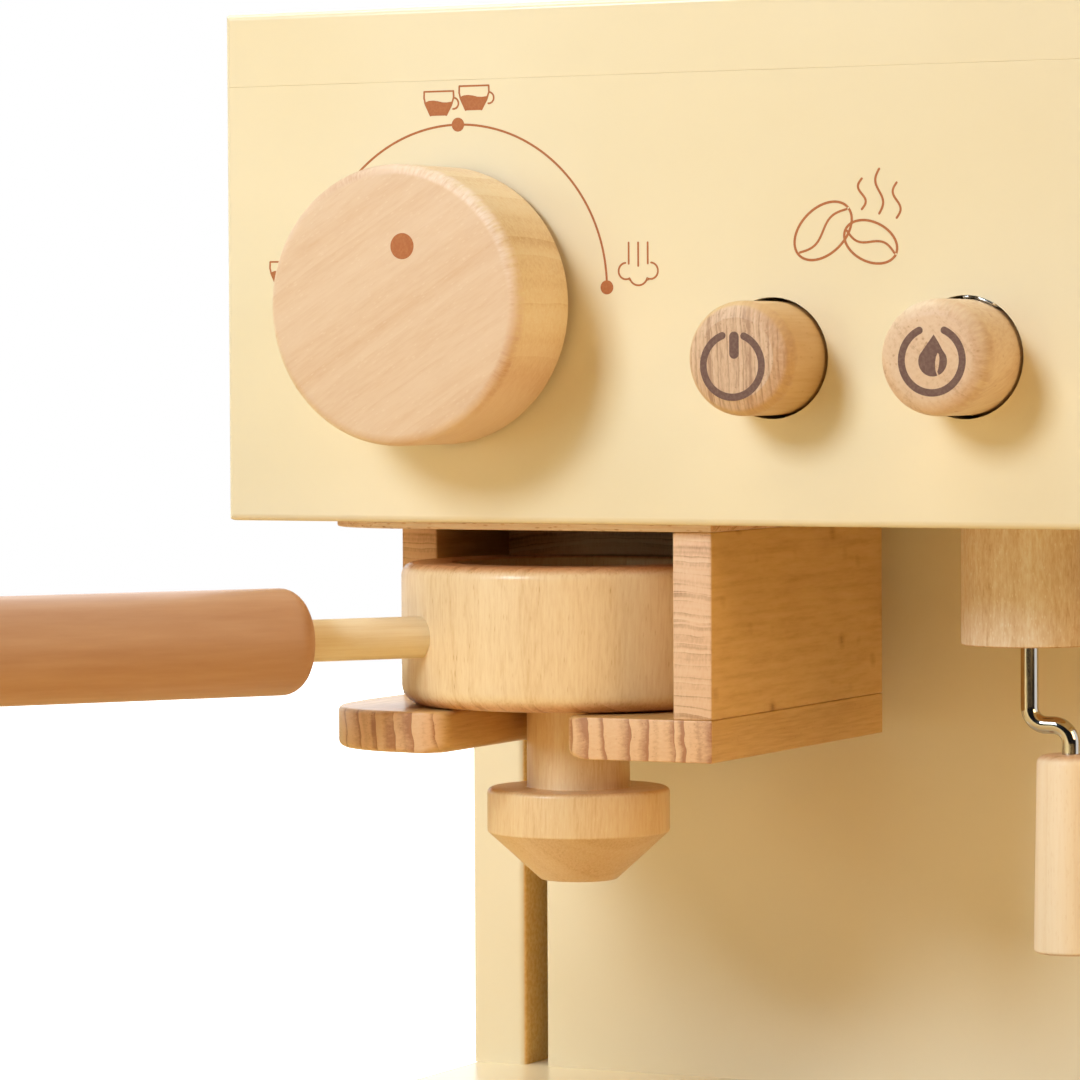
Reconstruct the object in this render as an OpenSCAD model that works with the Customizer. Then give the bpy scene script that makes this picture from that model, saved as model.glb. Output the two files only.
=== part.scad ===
// Toy coffee maker in painted board and beech, millimetres, +Z up.
// The front faces -Y. The origin is the centre of the base board's underside.
// Pieces are drawn from the front left bottom corner, and placed() centres the footprint.
// Heights given "below the head" are counted down from the front board's lower edge.

/* [Housing] */
// Overall width
body_w = 240; // [220:1:300]
// Depth of the head and the base
body_d = 180; // [170:1:220]
// Height of the head
head_h = 115; // [100:1:140]
// Clear height between the base and the head, where cups stand
cup_gap = 140; // [115:1:180]
// Depth of the rear column, from its front face to the back
column_d = 59; // [45:1:70]
// Thickness of the painted boards
board_t = 14.3; // [12:0.1:18]
// Thickness of the top board
top_t = 16.6; // [13:0.1:20]
// Thickness of the base board
base_t = 18; // [15:0.5:25]
// Thickness of the back panel
back_t = 6; // [4:0.5:8]
// Width of the ledge that the back panel is screwed to
ledge_w = 8; // [7:0.5:9]
// How far the head's floor sits above the front board's lower edge
floor_lift = 5; // [3:0.5:8]
// Thickness of the head's floor
floor_t = 12; // [10:0.5:14]
// Gap on each side of the column panel
shadow_gap = 6; // [2:0.5:10]
// Rounding of the painted edges
edge_r = 1.5; // [0.8:0.1:2.5]
// Rounding where two painted boards meet
seam_r = 0.1; // [0.1:0.1:0.5]

/* [Dial knob] */
// Knob axis, from the left side
knob_x = 57; // [50:1:65]
// Knob axis, above the head's lower edge
knob_z = 48.3; // [42:0.1:56]
// Knob diameter
knob_d = 61.5; // [45:0.5:66]
// Knob thickness
knob_t = 25; // [18:0.5:32]
// Space between the knob and the front board
knob_gap = 2; // [1:0.5:4]
// Rounding of the knob's front edge
knob_edge_r = 2; // [0.5:0.1:3]
// Rounding of the knob's back edge
knob_back_r = 0.4; // [0.2:0.1:1.5]
// Diameter of the dowel that the knob turns on
knob_shaft_d = 12; // [8:0.5:16]
// Depth of the dowel in the knob
knob_socket = 16; // [8:1:17]
// Diameter of the disc that keeps the dowel in
knob_disc_d = 28; // [22:1:34]
// Thickness of that disc
knob_disc_t = 6; // [4:0.5:9]

/* [Push buttons] */
// Power button's axis, from the left side
power_x = 135.4; // [130:0.1:140]
// Distance between the two buttons' axes
button_pitch = 44.6; // [36:0.1:50]
// Buttons' axes, above the head's lower edge
button_z = 36.3; // [35:0.1:44]
// Button diameter
button_d = 24.6; // [20:0.1:25.5]
// Diameter of the holes in the front board
button_hole_d = 26.3; // [26.1:0.1:27.5]
// How far the buttons stand out
button_proud = 19.2; // [14:0.1:24]
// Rounding of the buttons' front edge
button_edge_r = 3.8; // [1:0.1:5]
// Travel of the buttons
button_travel = 6; // [3:0.5:8]
// Diameter of the stem behind each button
stem_d = 8; // [6:0.5:10]
// Diameter of the collar that keeps a button in
collar_d = 29; // [28:0.5:30]
// Thickness of that collar
collar_t = 3; // [2:0.5:5]
// Length of the spring when the button is pressed in
spring_short_l = 15.4; // [14:0.1:20]
// Thickness of the spring wire
spring_wire = 1.2; // [0.8:0.1:1.4]
// Turns in a spring
spring_turns = 6; // [4:1:7]
// Depth of the block that guides the stems
guide_t = 12; // [8:1:20]

/* [Filter holder] */
// Holder's left side, from the housing's left side
holder_left = 14.5; // [10:0.1:20]
// Holder's front, behind the head's front
holder_y = 6; // [3:0.5:10]
// Width of the holder
holder_w = 103.7; // [101:0.1:108]
// Depth of the holder
holder_d = 98; // [95:0.5:105]
// Thickness of the holder's walls
wall_t = 9.4; // [7:0.1:9.6]
// Thickness of the fork board
fork_t = 9.4; // [7:0.1:12]
// How far the top plate shows below the head
plate_drop = 1.7; // [1:0.1:4]
// Inside height of the holder
holder_h = 41.3; // [38:0.1:50]
// Left wall's front, behind the head's front
left_wall_y = 57; // [56:0.5:70]
// Width of the slot that the neck slides into
slot_w = 29.4; // [28:0.1:34]
// Rounding of the holder's left front corner
corner_r = 26; // [10:0.5:30]
// Rounding of the two fork tips beside the slot
tip_r = 6; // [3:0.5:8]

/* [Filter] */
// Filter's axis, behind the head's front
filter_y = 45.7; // [45:0.1:48]
// Space between the basket and the holder's walls
basket_gap = 1.8; // [1.8:0.1:6]
// Basket height
basket_h = 32.6; // [28:0.1:36]
// Rounding of the basket's top edge
basket_top_r = 3; // [1:0.1:4]
// Rounding of the basket's bottom edge
basket_low_r = 4.5; // [1:0.1:6]
// Thickness of the basket's wall round the hollow
basket_wall = 12.3; // [11:0.1:16]
// Depth of the hollow
hollow_h = 12; // [8:0.5:13]
// Neck diameter
neck_d = 23.8; // [20:0.1:25]
// Bare length of the neck below the fork
neck_drop = 9.9; // [6:0.1:16]
// Tenon on which the basket turns
tenon_d = 16; // [12:0.5:18]
// Length of the tenon inside the basket
tenon_l = 11; // [8:0.5:12]
// Spout diameter
spout_d = 42.2; // [36:0.1:48]
// Height of the spout's straight rim
spout_rim = 10.1; // [6:0.1:14]
// Height of the spout's cone
spout_cone = 11.2; // [8:0.1:16]
// Diameter of the spout's flat end
spout_end_d = 17.6; // [10:0.1:24]
// Handle's height above the basket's underside
handle_z = 16.2; // [14:0.1:17]
// Handle's angle to the left of straight ahead
handle_angle = 36; // [0:1:60]
// Diameter of the handle's rod
rod_d = 9.5; // [8:0.1:10]
// Rod's depth in the basket
rod_socket = 10; // [6:0.5:10]
// Rod's depth in the grip
grip_socket = 25; // [15:1:35]
// Start of the grip, from the filter's axis
grip_start = 70.5; // [60:0.5:85]
// Grip length
grip_l = 93; // [80:1:110]
// Grip diameter
grip_d = 24; // [20:0.5:28]
// Rounding of the grip's ends
grip_r = 5; // [2:0.5:9]

/* [Steam wand] */
// Wand's axis, from the left side
wand_x = 171.4; // [165:0.1:185]
// Wand's axis, behind the head's front
wand_y = 61; // [59:1:70]
// Boss diameter
boss_d = 30.6; // [24:0.2:36]
// Length of the boss below the head
boss_drop = 28; // [18:0.1:34]
// Diameter of the boss's tenon in the head's floor
boss_tenon_d = 16; // [12:0.5:20]
// Rod diameter
wand_d = 4; // [3:0.1:5]
// Straight rod below the boss
wand_drop = 14; // [8:0.1:18]
// Sideways step of the rod, made by two equal bends
wand_step = 9.8; // [7:0.1:14]
// Radius of those bends, at the middle of the rod
wand_bend_r = 4; // [3:0.1:4.5]
// Bare rod between the lower bend and the grip
wand_tail = 2.4; // [1:0.1:5]
// Grip length
wand_grip_l = 44.4; // [35:0.1:55]
// Grip diameter at its top
wand_grip_top_d = 15.2; // [12:0.1:18]
// Grip diameter at its lower end
wand_grip_low_d = 16.6; // [13:0.1:20]
// Rod's depth in the grip
wand_socket = 20; // [10:1:25]

/* [Fasteners] */
// Diameter of a screw's shank
screw_d = 3; // [2.5:0.1:4]
// Diameter of a screw's head
screw_head_d = 6.4; // [5.5:0.1:7]
// Screw length inside the board that it holds on to
screw_bite = 20; // [12:1:24]
// Diameter of the dowels between the boards
dowel_d = 8; // [6:0.5:8]
// Length of those dowels
dowel_l = 28; // [20:1:34]

/* [Hidden] */
$fn = 96;

// Clearances between pieces that move past each other
run_fit = 0.08;
stop_gap = 0.3;

// Levels, counted up from the table
head_z = base_t + cup_gap;
top_z = head_z + head_h;
seam_z = top_z - top_t;
floor_z = head_z + floor_lift;
floor_top_z = floor_z + floor_t;
column_y = body_d - column_d;
back_y = body_d - back_t;
inner_w = body_w - 2 * board_t;

// Dial
knob_axis_z = head_z + knob_z;
knob_back_y = -knob_gap;
disc_y = board_t + stop_gap;

// Buttons
water_x = power_x + button_pitch;
button_axis_z = head_z + button_z;
collar_y = board_t + stop_gap;
spring_l = spring_short_l + button_travel;
spring_y = collar_y + collar_t;
guide_y = spring_y + spring_l;
stem_end_y = guide_y + guide_t + stem_d / 4;
spring_r = stem_d / 2 + spring_wire + 0.8;
guide_margin = stem_d;

// Filter holder
holder_x = holder_left + holder_w / 2;
holder_right = holder_left + holder_w;
holder_back = holder_y + holder_d;
plate_z = head_z - plate_drop;
raised_left = max(holder_left, board_t);
fork_top_z = plate_z - holder_h;
fork_z = fork_top_z - fork_t;

// Filter
basket_d = holder_w - 2 * wall_t - 2 * basket_gap;
hollow_d = basket_d - 2 * basket_wall;
basket_z = fork_top_z + stop_gap;
basket_top_z = basket_z + basket_h;
neck_top_z = fork_top_z;
spout_top_z = fork_z - neck_drop;
spout_rim_z = spout_top_z - spout_rim;
spout_end_z = spout_rim_z - spout_cone;
handle_axis_z = basket_z + handle_z;
rod_start = basket_d / 2 - rod_socket;
rod_end = grip_start + grip_socket;

// Steam wand
boss_z = head_z - boss_drop;
bend_run = 0.4;
bend_r = min(wand_bend_r, (wand_step - bend_run) / 2);
bend_z = boss_z - wand_drop;
low_bend_z = bend_z - 2 * bend_r;
wand_grip_z = low_bend_z - wand_tail - wand_grip_l;
wand_collar_d = wand_d * 3;
wand_collar_t = 5;
wand_top_z = floor_top_z + stop_gap + wand_collar_t + 1;

// Dowels: across the front joint, and up into the top board
dowel_in = board_t * 2 / 3;
front_dowel_z = [head_z + head_h * 0.2, seam_z - head_h * 0.22];
top_dowel_y = [body_d * 0.25, back_y - body_d * 0.19];

// Screws: the cone of a countersunk head is as deep as it is wide at 90 degrees
screw_cone = (screw_head_d - screw_d) / 2;
low_back_screw_z = base_t + screw_bite + dowel_d;
top_back_screw_z = seam_z - dowel_l + dowel_in - screw_head_d;
back_screw_z = [for (i = [0:3]) low_back_screw_z + i * (top_back_screw_z - low_back_screw_z) / 3];
back_screw_x = [board_t - ledge_w / 2, body_w - board_t + ledge_w / 2];
base_screw_side_y = [column_y + column_d / 6, column_y + column_d / 2];
base_screw_panel_x = [body_w * 0.25, body_w * 0.5, body_w * 0.75];
plate_t = floor_z - plate_z;
holder_screw_l = floor_t + plate_t + screw_bite;
left_screw_x = max(holder_left + wall_t / 2, board_t + screw_head_d * 0.6);
right_screw_x = holder_right - wall_t / 2;
rear_screw_y = holder_back - wall_t - screw_head_d / 2;
left_screw_y = [left_wall_y + wall_t, rear_screw_y];
right_screw_y = [holder_y + holder_d / 5, rear_screw_y];

// ---------- shared shapes ----------

module placed() translate([-body_w / 2, -body_d / 2, 0]) children();

// What a rounded corner takes off a square one at the origin
module corner_cut(r) difference() {
    translate([-1, -1]) square(r + 1);
    translate([r, r]) circle(r);
}

// Rectangle with its own radius at each corner, counter-clockwise from the origin
module rect_r(w, h, radii) difference() {
    square([w, h]);
    if (radii[0] > 0) corner_cut(radii[0]);
    if (radii[1] > 0) translate([w, 0]) mirror([1, 0]) corner_cut(radii[1]);
    if (radii[2] > 0) translate([w, h]) rotate(180) corner_cut(radii[2]);
    if (radii[3] > 0) translate([0, h]) mirror([0, 1]) corner_cut(radii[3]);
}

// Board whose plan (x, y), front (x, z) and side (y, z) outlines have rounded corners
module board(w, d, h, plan, front, side) intersection() {
    linear_extrude(h) rect_r(w, d, plan);
    translate([0, d, 0]) rotate([90, 0, 0]) linear_extrude(d) rect_r(w, h, front);
    rotate([90, 0, 90]) linear_extrude(w) rect_r(d, h, side);
}

// Board with the same rounding on every edge
module eased_board(w, d, h, r) board(w, d, h, [r, r, r, r], [r, r, r, r], [r, r, r, r]);

// Solid of revolution about Z with rounded lower and upper edges
module turned(d, h, low_r, top_r) rotate_extrude() rect_r(d / 2, h, [0, low_r, top_r, 0]);

// Rounding of a long vertical edge, taken off a corner at the origin
module vertical_edge_cut(h, r) translate([0, 0, -1]) linear_extrude(h + 2) corner_cut(r);

// Countersunk screw with its head's face at z = 0, pointing down
module screw(l) {
    translate([0, 0, -l]) cylinder(h = l - screw_cone, d = screw_d);
    translate([0, 0, -screw_cone]) cylinder(h = screw_cone, d1 = screw_d, d2 = screw_head_d);
}

module back_screw_set() for (x = back_screw_x, z = back_screw_z)
    translate([x, body_d, z]) rotate([-90, 0, 0]) screw(back_t + screw_bite);

module base_screw_set() {
    for (x = [board_t / 2, body_w - board_t / 2], y = base_screw_side_y)
        translate([x, y, 0]) rotate([180, 0, 0]) screw(base_t + screw_bite);
    for (x = base_screw_panel_x)
        translate([x, column_y + board_t / 2, 0]) rotate([180, 0, 0]) screw(base_t + screw_bite);
}

module holder_screw_set() {
    for (y = left_screw_y)
        translate([left_screw_x, y, floor_top_z]) screw(holder_screw_l);
    for (y = right_screw_y)
        translate([right_screw_x, y, floor_top_z]) screw(holder_screw_l);
}

module dowel_set() for (x = [board_t / 2, body_w - board_t / 2]) {
    for (z = front_dowel_z)
        translate([x, board_t - dowel_in, z]) rotate([-90, 0, 0]) cylinder(h = dowel_l, d = dowel_d);
    for (y = top_dowel_y)
        translate([x, y, seam_z + dowel_in - dowel_l]) cylinder(h = dowel_l, d = dowel_d);
}

// ---------- painted housing ----------

module base_board() color("#F3E2B6") placed() difference() {
    eased_board(body_w, body_d, base_t, edge_r);
    base_screw_set();
}

// L-shaped side: the head's flank and the column's flank in one board, left hand
module side_board() difference() {
    rotate([90, 0, 90]) linear_extrude(board_t) {
        translate([board_t, head_z]) square([body_d - board_t, seam_z - head_z]);
        translate([column_y, base_t]) square([column_d, seam_z - base_t]);
    }
    translate([0, column_y, 0]) vertical_edge_cut(head_z, edge_r);
    translate([board_t, column_y, 0]) mirror([1, 0, 0]) vertical_edge_cut(head_z, edge_r);
    translate([0, body_d, 0]) mirror([0, 1, 0]) vertical_edge_cut(top_z, edge_r);
    translate([board_t - ledge_w, back_y, base_t - 1])
        cube([ledge_w + 1, back_t + 1, seam_z - base_t + 2]);
}

module side_board_drilled() difference() {
    side_board();
    back_screw_set();
    base_screw_set();
    dowel_set();
}

module left_side_board() color("#F3E2B6") placed() side_board_drilled();

module right_side_board() color("#F3E2B6") placed()
    translate([body_w, 0, 0]) mirror([1, 0, 0]) side_board_drilled();

module front_board() color("#F5E3B8") placed() difference() {
    translate([0, 0, head_z])
        board(body_w, board_t, head_h - top_t, [edge_r, edge_r, 0, 0],
              [edge_r, edge_r, 0, 0], [edge_r, 0, 0, seam_r]);
    translate([knob_x, 0, knob_axis_z]) rotate([-90, 0, 0])
        translate([0, 0, -1]) cylinder(h = board_t + 2, d = knob_shaft_d + 2 * run_fit);
    for (x = [power_x, water_x])
        translate([x, -1, button_axis_z]) rotate([-90, 0, 0]) cylinder(h = board_t + 2, d = button_hole_d);
    dowel_set();
}

module top_board() color("#F5E3B8") placed() difference() {
    translate([0, 0, seam_z])
        board(body_w, body_d, top_t, [edge_r, edge_r, edge_r, edge_r],
              [seam_r, seam_r, edge_r, edge_r], [seam_r, seam_r, edge_r, edge_r]);
    dowel_set();
}

module head_floor() color("#EFDDB0") placed() difference() {
    translate([board_t, board_t, floor_z]) cube([inner_w, column_y - board_t, floor_t]);
    holder_screw_set();
    translate([wand_x, wand_y, floor_z - 1]) cylinder(h = floor_t + 2, d = boss_tenon_d);
}

module column_panel() color("#F3E2B6") placed() difference() {
    translate([board_t + shadow_gap, column_y, base_t])
        board(inner_w - 2 * shadow_gap, board_t, floor_top_z - base_t,
              [edge_r, edge_r, 0, 0], [0, 0, 0, 0], [0, 0, 0, 0]);
    base_screw_set();
}

module back_panel() color("#EFDDB0") placed() difference() {
    translate([board_t - ledge_w, back_y, base_t])
        cube([inner_w + 2 * ledge_w, back_t, seam_z - base_t]);
    back_screw_set();
}

module board_dowels() color("#D9B382") placed() dowel_set();

module back_screws() color("#B9BCC0") placed() back_screw_set();

module base_screws() color("#B9BCC0") placed() base_screw_set();

// ---------- filter holder ----------

// Outline shared by the top plate and the fork board, in plan
module holder_outline() rect_r(holder_w, holder_d, [corner_r, 0, 0, 0]);

// The part of it that fits between the painted boards
module raised_outline() intersection() {
    holder_outline();
    translate([raised_left - holder_left, board_t - holder_y]) square([holder_w, holder_d]);
}

// Only the plate's lip shows below the head; the rest is set back behind the painted boards
module holder_plate() color("#D8A869") placed() difference() {
    union() {
        translate([holder_left, holder_y, plate_z]) linear_extrude(plate_drop) holder_outline();
        translate([holder_left, holder_y, head_z - 1]) linear_extrude(floor_lift + 1) raised_outline();
    }
    holder_screw_set();
}

module fork_slot() {
    slot_left = (holder_w - slot_w) / 2;
    reach = filter_y - holder_y;
    translate([slot_left, -1]) square([slot_w, reach + 1]);
    translate([holder_w / 2, reach]) circle(d = slot_w);
    translate([slot_left, 0]) mirror([1, 0]) corner_cut(tip_r);
    translate([slot_left + slot_w, 0]) corner_cut(tip_r);
}

module holder_fork() color("#DDB077") placed()
    translate([holder_left, holder_y, fork_z]) linear_extrude(fork_t) difference() {
        holder_outline();
        fork_slot();
    }

module holder_wall(depth) cube([wall_t, depth, holder_h]);

module holder_left_wall() color("#D8A869") placed() difference() {
    translate([holder_left, left_wall_y, fork_top_z]) holder_wall(holder_back - left_wall_y);
    holder_screw_set();
}

module holder_right_wall() color("#D8A869") placed() difference() {
    translate([holder_right - wall_t, holder_y, fork_top_z]) holder_wall(holder_d);
    holder_screw_set();
}

module holder_back_wall() color("#D8A869") placed()
    translate([holder_left + wall_t, holder_back - wall_t, fork_top_z])
        cube([holder_w - 2 * wall_t, wall_t, holder_h]);

module holder_screws() color("#B9BCC0") placed() holder_screw_set();

// ---------- dial ----------

// Turns a shape that stands on +Z so that it points out of the front, at the knob's axis
module on_knob_axis(y) translate([knob_x, y, knob_axis_z]) rotate([90, 0, 0]) children();

module knob() color("#E6C79D") placed() difference() {
    on_knob_axis(knob_back_y) turned(knob_d, knob_t, knob_back_r, knob_edge_r);
    on_knob_axis(knob_back_y + 1) cylinder(h = knob_socket + 1, d = knob_shaft_d);
}

module knob_screw_shape() on_knob_axis(disc_y + knob_disc_t) rotate([180, 0, 0])
    screw(knob_disc_t + screw_bite);

module knob_shaft() color("#E2C090") placed() difference() {
    on_knob_axis(disc_y) cylinder(h = disc_y - knob_back_y + knob_socket, d = knob_shaft_d);
    knob_screw_shape();
}

module knob_disc() color("#E2C090") placed() difference() {
    on_knob_axis(disc_y + knob_disc_t) cylinder(h = knob_disc_t, d = knob_disc_d);
    knob_screw_shape();
}

module knob_screw() color("#B9BCC0") placed() knob_screw_shape();

// ---------- push buttons ----------

module on_button_axis(x, y) translate([x, y, button_axis_z]) rotate([90, 0, 0]) children();

// Turned button: rounded head and straight shank, then a thin stem behind
module button_body(x) {
    on_button_axis(x, collar_y) turned(button_d, collar_y + button_proud, 0.5, button_edge_r);
    on_button_axis(x, stem_end_y) cylinder(h = stem_end_y - collar_y + 1, d = stem_d);
}

module button_collar(x) difference() {
    on_button_axis(x, spring_y) cylinder(h = collar_t, d = collar_d);
    on_button_axis(x, spring_y + 1) cylinder(h = collar_t + 2, d = stem_d);
}

// Coil spring: points of a helix, and a ring of wire round each
coil_steps = 14;
wire_sides = 8;
coil_span = spring_l - spring_wire - 0.2;
coil_rings = spring_turns * coil_steps;

function coil_angle(i) = 360 * i / coil_steps;
function wire_point(i, k) = let (
    a = coil_angle(i),
    b = 360 * k / wire_sides,
    r = spring_r + spring_wire / 2 * cos(b)
) [
    r * cos(a),
    r * sin(a),
    coil_span * i / coil_rings + spring_wire / 2 * sin(b)
];

module coil() {
    points = [for (i = [0:coil_rings], k = [0:wire_sides - 1]) wire_point(i, k)];
    skin = [
        for (i = [0:coil_rings - 1], k = [0:wire_sides - 1])
            let (n = (k + 1) % wire_sides)
            [
                i * wire_sides + k,
                (i + 1) * wire_sides + k,
                (i + 1) * wire_sides + n,
                i * wire_sides + n
            ]
    ];
    first = [for (k = [0:wire_sides - 1]) k];
    last = [for (k = [wire_sides - 1:-1:0]) coil_rings * wire_sides + k];
    polyhedron(points, concat(skin, [first, last]));
}

module button_spring(x) on_button_axis(x, guide_y - spring_wire / 2 - 0.1) coil();

module power_button() color("#E8C99C") placed() button_body(power_x);

module water_button() color("#E8C99C") placed() button_body(water_x);

module power_collar() color("#DDB987") placed() button_collar(power_x);

module water_collar() color("#DDB987") placed() button_collar(water_x);

module power_spring() color("#C5C8CC") placed() button_spring(power_x);

module water_spring() color("#C5C8CC") placed() button_spring(water_x);

// Block on the head's floor that both stems slide through
module button_guide() color("#D9B382") placed() difference() {
    translate([power_x - collar_d / 2, guide_y, floor_top_z])
        cube([button_pitch + collar_d, guide_t, button_axis_z - floor_top_z + guide_margin]);
    for (x = [power_x, water_x])
        on_button_axis(x, guide_y + guide_t + 1) cylinder(h = guide_t + 2, d = stem_d + 2 * run_fit);
}

// ---------- filter ----------

module on_filter_axis(z) translate([holder_x, filter_y, z]) children();

// Turns a shape that stands on +Z so that it points along the handle
module along_handle() on_filter_axis(handle_axis_z) rotate([0, 0, -handle_angle])
    rotate([90, 0, 0]) children();

module filter_basket() color("#E9C68C") placed() difference() {
    on_filter_axis(basket_z) turned(basket_d, basket_h, basket_low_r, basket_top_r);
    on_filter_axis(basket_top_z - hollow_h) cylinder(h = hollow_h + 1, d = hollow_d);
    on_filter_axis(basket_z - 1) cylinder(h = tenon_l + stop_gap + 1, d = tenon_d + 2 * run_fit);
    along_handle() translate([0, 0, rod_start]) cylinder(h = basket_d, d = rod_d);
}

// Neck, straight rim and cone in one turned piece, with the tenon that the basket turns on
module spout() color("#E3B97C") placed() on_filter_axis(0) {
    translate([0, 0, spout_end_z]) cylinder(h = spout_cone, d1 = spout_end_d, d2 = spout_d);
    translate([0, 0, spout_rim_z]) turned(spout_d, spout_rim, 0, 1.2);
    translate([0, 0, spout_top_z - 1]) cylinder(h = neck_top_z - spout_top_z + 1, d = neck_d);
    translate([0, 0, neck_top_z - 1]) cylinder(h = tenon_l + stop_gap + 1, d = tenon_d);
}

module handle_rod() color("#E6CB9A") placed()
    along_handle() translate([0, 0, rod_start]) cylinder(h = rod_end - rod_start, d = rod_d);

module handle_grip() color("#B9805A") placed() difference() {
    along_handle() translate([0, 0, grip_start]) turned(grip_d, grip_l, grip_r, grip_r);
    along_handle() translate([0, 0, grip_start - 1]) cylinder(h = grip_socket + 1, d = rod_d);
}

// ---------- steam wand ----------

module on_wand_axis(z) translate([wand_x, wand_y, z]) children();

module steam_boss() color("#DDB077") placed() difference() {
    union() {
        on_wand_axis(boss_z) turned(boss_d, floor_z - boss_z, 0.5, 0);
        on_wand_axis(floor_z - 1) cylinder(h = floor_t + 1, d = boss_tenon_d);
    }
    on_wand_axis(boss_z - 1) cylinder(h = floor_top_z - boss_z + 2, d = wand_d + 2 * run_fit);
}

// Quarter of a ring in the x, z plane, from +X round to +Z
module quarter_bend() rotate([90, 0, 0]) rotate_extrude(angle = 90)
    translate([bend_r, 0]) circle(d = wand_d, $fn = 48);

module wand_rod() color("#C9CCD0") placed() {
    on_wand_axis(bend_z) cylinder(h = wand_top_z - bend_z, d = wand_d);
    on_wand_axis(bend_z) translate([bend_r, 0, 0]) rotate([0, 180, 0]) quarter_bend();
    on_wand_axis(bend_z - bend_r) translate([bend_r, 0, 0]) rotate([0, 90, 0])
        cylinder(h = wand_step - 2 * bend_r, d = wand_d);
    on_wand_axis(low_bend_z) translate([wand_step - bend_r, 0, 0]) quarter_bend();
    on_wand_axis(low_bend_z - wand_tail - wand_socket) translate([wand_step, 0, 0])
        cylinder(h = wand_tail + wand_socket, d = wand_d);
}

module wand_collar() color("#9B9EA2") placed() difference() {
    on_wand_axis(floor_top_z + stop_gap) cylinder(h = wand_collar_t, d = wand_collar_d);
    on_wand_axis(floor_top_z) cylinder(h = wand_collar_t + 2, d = wand_d);
}

module wand_grip() color("#E8CDA0") placed() difference() {
    on_wand_axis(wand_grip_z) translate([wand_step, 0, 0])
        cylinder(h = wand_grip_l, d1 = wand_grip_low_d, d2 = wand_grip_top_d);
    on_wand_axis(wand_grip_z + wand_grip_l - wand_socket) translate([wand_step, 0, 0])
        cylinder(h = wand_socket + 1, d = wand_d);
}

base_board();
left_side_board();
right_side_board();
front_board();
top_board();
head_floor();
column_panel();
back_panel();
board_dowels();
back_screws();
base_screws();
holder_plate();
holder_left_wall();
holder_right_wall();
holder_back_wall();
holder_fork();
holder_screws();
steam_boss();
button_guide();
knob();
knob_shaft();
knob_disc();
knob_screw();
power_button();
power_collar();
power_spring();
water_button();
water_collar();
water_spring();
spout();
filter_basket();
handle_rod();
handle_grip();
wand_rod();
wand_collar();
wand_grip();
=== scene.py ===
"""Looks of a toy coffee maker: painted fibreboard housing, beech filter and knobs, chromed wand.

Lengths in the tables below are millimetres. Blender gets metres.
"""
import math

import bmesh
import bpy
from mathutils import Matrix, Vector
from mathutils.geometry import tessellate_polygon


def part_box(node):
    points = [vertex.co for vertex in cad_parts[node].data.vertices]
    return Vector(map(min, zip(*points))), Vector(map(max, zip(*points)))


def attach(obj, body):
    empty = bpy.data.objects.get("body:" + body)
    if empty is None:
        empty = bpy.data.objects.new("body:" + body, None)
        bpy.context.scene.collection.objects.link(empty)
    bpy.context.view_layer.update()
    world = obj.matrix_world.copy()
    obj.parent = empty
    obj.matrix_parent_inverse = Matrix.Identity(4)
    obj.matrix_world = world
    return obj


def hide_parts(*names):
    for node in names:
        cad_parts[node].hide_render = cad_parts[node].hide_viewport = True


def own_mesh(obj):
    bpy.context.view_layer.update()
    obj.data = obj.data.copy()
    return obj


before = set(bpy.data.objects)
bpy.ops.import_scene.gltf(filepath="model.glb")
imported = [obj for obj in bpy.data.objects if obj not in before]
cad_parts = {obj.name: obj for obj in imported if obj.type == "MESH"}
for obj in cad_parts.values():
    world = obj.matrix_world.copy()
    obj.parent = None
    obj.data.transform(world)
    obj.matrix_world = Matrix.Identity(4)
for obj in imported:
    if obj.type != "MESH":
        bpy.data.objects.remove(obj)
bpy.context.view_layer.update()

MM = 0.001
FRONT, UP = Vector((0, -1, 0)), Vector((0, 0, 1))


# ---------- materials ----------

def linear(code):
    """The linear colour, with alpha, of an sRGB hex code."""
    shares = [int(code[i:i + 2], 16) / 255 for i in (0, 2, 4)]
    return [s / 12.92 if s <= 0.04045 else ((s + 0.055) / 1.055) ** 2.4 for s in shares] + [1.0]


def add(tree, kind, inputs=(), stops=(), **settings):
    """Adds a shader node, sets it, and gives each input its value or what feeds it.

    That is a socket, or a node whose first output is meant.
    """
    node = tree.nodes.new("ShaderNode" + kind)
    for name, value in settings.items():
        setattr(node, name, value)
    for name, value in dict(inputs).items():
        if isinstance(value, bpy.types.Node):
            value = value.outputs[0]
        if isinstance(value, bpy.types.NodeSocket):
            tree.links.new(value, node.inputs[name])
        else:
            node.inputs[name].default_value = value
    for i, (place, code) in enumerate(stops):
        elements = node.color_ramp.elements
        stop = elements[i] if i < len(elements) else elements.new(place)
        stop.position = place
        stop.color = linear(code)
    return node


def start_material(name, **surface):
    """A new material, with constants on its shader's own sockets.

    Gives the material, its node tree, its shader and the places on the piece to texture it by.
    """
    made = bpy.data.materials.new(name)
    made.use_nodes = True
    shader = made.node_tree.nodes["Principled BSDF"]
    for socket, value in surface.items():
        shader.inputs[socket.replace("_", " ")].default_value = value
    return made, made.node_tree, shader, add(made.node_tree, "TexCoord").outputs


def finish(tree, shader, colour, wear, roughness, height, strength, relief, **settings):
    """Gives a shader its colour, its gloss and its relief.

    The roughness runs between two values with wear, and the relief in mm follows height.
    """
    tree.links.new(colour, shader.inputs["Base Color"])
    rough = add(tree, "MapRange", {0: wear, 3: roughness[0], 4: roughness[1]})
    tree.links.new(rough.outputs[0], shader.inputs["Roughness"])
    bump = add(tree, "Bump", {"Strength": strength, "Distance": relief * MM, "Height": height},
               **settings)
    tree.links.new(bump.outputs[0], shader.inputs["Normal"])


def log_axes(along, out):
    """The turn of a log's own axes: along its trunk, out from its heart, and across both."""
    return Matrix((along, out, along.cross(out))).to_euler()


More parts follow.
